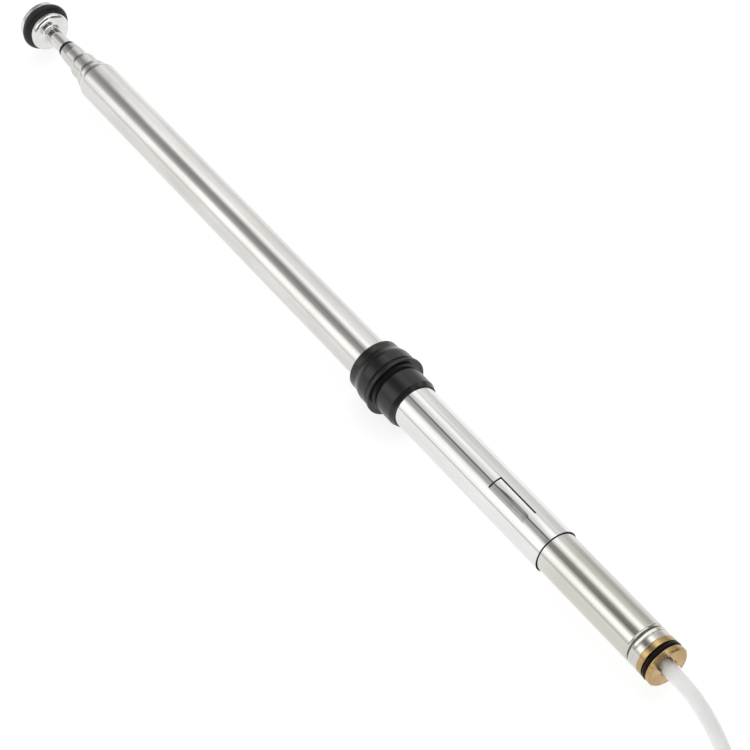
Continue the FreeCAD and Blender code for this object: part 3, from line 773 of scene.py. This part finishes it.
def add_block(shape, centre, size, rounding):
    """A block with rounded edges, in millimetres."""
    made = bmesh.ops.create_cube(shape, size=1.0)["verts"]
    place = Matrix.Translation(centre * MM) @ Matrix.Diagonal((*(Vector(size) * MM), 1))
    bmesh.ops.transform(shape, matrix=place, verts=made)
    edges = list({edge for vert in made for edge in vert.link_edges})
    bmesh.ops.bevel(shape, geom=edges, offset=rounding * MM, segments=3, affect="EDGES", profile=0.5)


# ---------------------------------------------------------------- studio

LIGHT_RANGE = 2.0  # the most that a level below may be
FLOOR_REACH = 3.0
FLOOR_GLOW = 0.82
# The room's brightness round the mast's axis, as (degrees from straight up toward -Y, level).
ABOVE_HEAD = [
    (-88, 0.80), (-60, 0.90), (-45, 0.75), (-30, 0.33), (-15, 0.20), (5, 0.28), (25, 0.48), (40, 0.66),
    (78, 0.62), (92, 0.8),
]
HEAD = [
    (-88, 0.86), (-45, 1.45), (-34, 1.30), (-20, 0.68), (-6, 0.38), (15, 0.52), (32, 0.60), (42, 0.90),
    (56, 1.50), (68, 1.55), (84, 0.80),
]
BASE = [
    (-88, 0.88), (-60, 1.05), (-42, 1.17), (-30, 1.16), (-24, 1.55), (-10, 1.46), (-1, 0.66), (9, 0.32),
    (20, 0.32), (36, 0.48), (46, 1.17), (54, 1.60), (70, 1.60), (80, 1.08), (92, 0.74),
]
SLEEVE = [
    (-88, 0.76), (-60, 0.82), (-36, 0.95), (-33, 0.58), (-30, 0.98), (-20, 1.20), (-4, 0.88), (8, 0.78),
    (11.5, 0.12), (14.5, 0.12), (18, 0.46), (33, 0.50), (44, 1.2), (60, 1.40), (80, 1.20), (85, 0.78),
    (92, 0.62),
]
LOWER = [
    (-88, 0.92), (-66, 0.52), (-50, 0.72), (-30, 0.98), (-14, 1.98), (-4, 1.86), (6, 0.74), (14, 0.31),
    (24, 0.13), (34, 0.24), (44, 0.88), (55, 1.90), (70, 1.80), (82, 0.84), (92, 0.57),
]
OVERHEAD = [
    (-90, 1.3), (-84, 0.5), (-70, 0.5), (-60, 1.55), (62, 1.7), (70, 0.55), (84, 0.55), (90, 1.4),
]
CABLE_SIDE = [
    (-88, 0.35), (-40, 0.16), (-28, 0.14), (-24, 0.8), (-16, 0.8), (-12, 0.12), (60, 0.12), (80, 0.5),
    (92, 0.7),
]
FAR = [(-88, 0.55), (-40, 0.30), (0, 0.16), (40, 0.20), (92, 0.60)]
# Where each of these stands, by how far a direction points toward the mast's cable end.
ZONES = [
    (-0.92, FAR), (-0.76, ABOVE_HEAD), (-0.689, ABOVE_HEAD), (-0.682, HEAD), (-0.674, HEAD),
    (-0.666, BASE), (-0.57, BASE), (-0.53, SLEEVE), (-0.485, SLEEVE), (-0.46, LOWER), (-0.36, LOWER),
    (-0.29, OVERHEAD), (0.02, OVERHEAD), (0.12, CABLE_SIDE), (0.75, CABLE_SIDE), (0.82, OVERHEAD),
]


def ring_of_light(tree, turn, levels):
    """The brightness at a turn about the mast's axis, as the output of a colour ramp."""
    ramp = add(tree, "ValToRGB", Fac=turn)
    stops = ramp.color_ramp.elements
    for i, (degrees, level) in enumerate(levels):
        place = degrees / 360 + 0.5
        stop = stops[i] if i < len(stops) else stops.new(place)
        stop.position = place
        stop.color = (*(level / LIGHT_RANGE,) * 3, 1)
    return ramp.outputs["Color"]


def make_studio():
    """Soft panels and dark cards round the mast, as a sky, and a plain pale floor."""
    world = bpy.data.worlds.new("studio")
    bpy.context.scene.world = world
    world.use_nodes = True
    tree = world.node_tree
    parts = add(tree, "SeparateXYZ", Vector=add(tree, "TexCoord").outputs["Generated"]).outputs
    angle = calculate(tree, "ARCTAN2", calculate(tree, "MULTIPLY", parts["Y"], -1.0), parts["Z"])
    turn = calculate(tree, "ADD", calculate(tree, "DIVIDE", angle, 2 * math.pi), 0.5)
    light = ring_of_light(tree, turn, ZONES[0][1])
    for (start, levels), (end, following) in zip(ZONES, ZONES[1:]):
        if following is levels:
            continue
        share = share_between(tree, parts["X"], start, end)
        light = blend(tree, share, light, ring_of_light(tree, turn, following))
    background = tree.nodes["Background"]
    tree.links.new(light, background.inputs["Color"])
    background.inputs["Strength"].default_value = LIGHT_RANGE
    floor_mesh = bpy.data.meshes.new("floor")
    sides = [(-1, -1), (1, -1), (1, 1), (-1, 1)]
    floor_mesh.from_pydata([(x * FLOOR_REACH, y * FLOOR_REACH, 0) for x, y in sides], [], [(0, 1, 2, 3)])
    floor = bpy.data.objects.new("floor", floor_mesh)
    bpy.context.scene.collection.objects.link(floor)
    paper = finish(
        "floor_paper", ((0.28, 0.28, 0.28), (0.30, 0.30, 0.30)), (0.8, 0.9), (0.02,) * 3, (1.0,) * 3, 20.0,
        Emission_Color=(1, 1, 1, 1), Emission_Strength=FLOOR_GLOW)
    floor_mesh.materials.append(paper)
    bpy.context.scene.view_settings.view_transform = "Standard"


# What the inner pieces that keep their CAD shape are finished in, by how their names end.
CARRIED_OVER = {
    "stop_bush": brass,
    "contact_spring": spring_bronze,
    "cable_ferrule": brass,
    "cable_core": nylon,
}


def finish_cad_nodes():
    """The inner pieces keep their CAD shape and get a finish."""
    for name, cad_node in frame["nodes"].items():
        for ending, material in CARRIED_OVER.items():
            if name.endswith(ending):
                cad_node.data.materials.clear()
                cad_node.data.materials.append(material)


make_camera()
cable = make_cable(nylon)
make_mast()
make_sleeve()
make_plug()
ties = [make_tie("hank_tie_left"), make_tie("hank_tie_right")]
finish_cad_nodes()
make_studio()
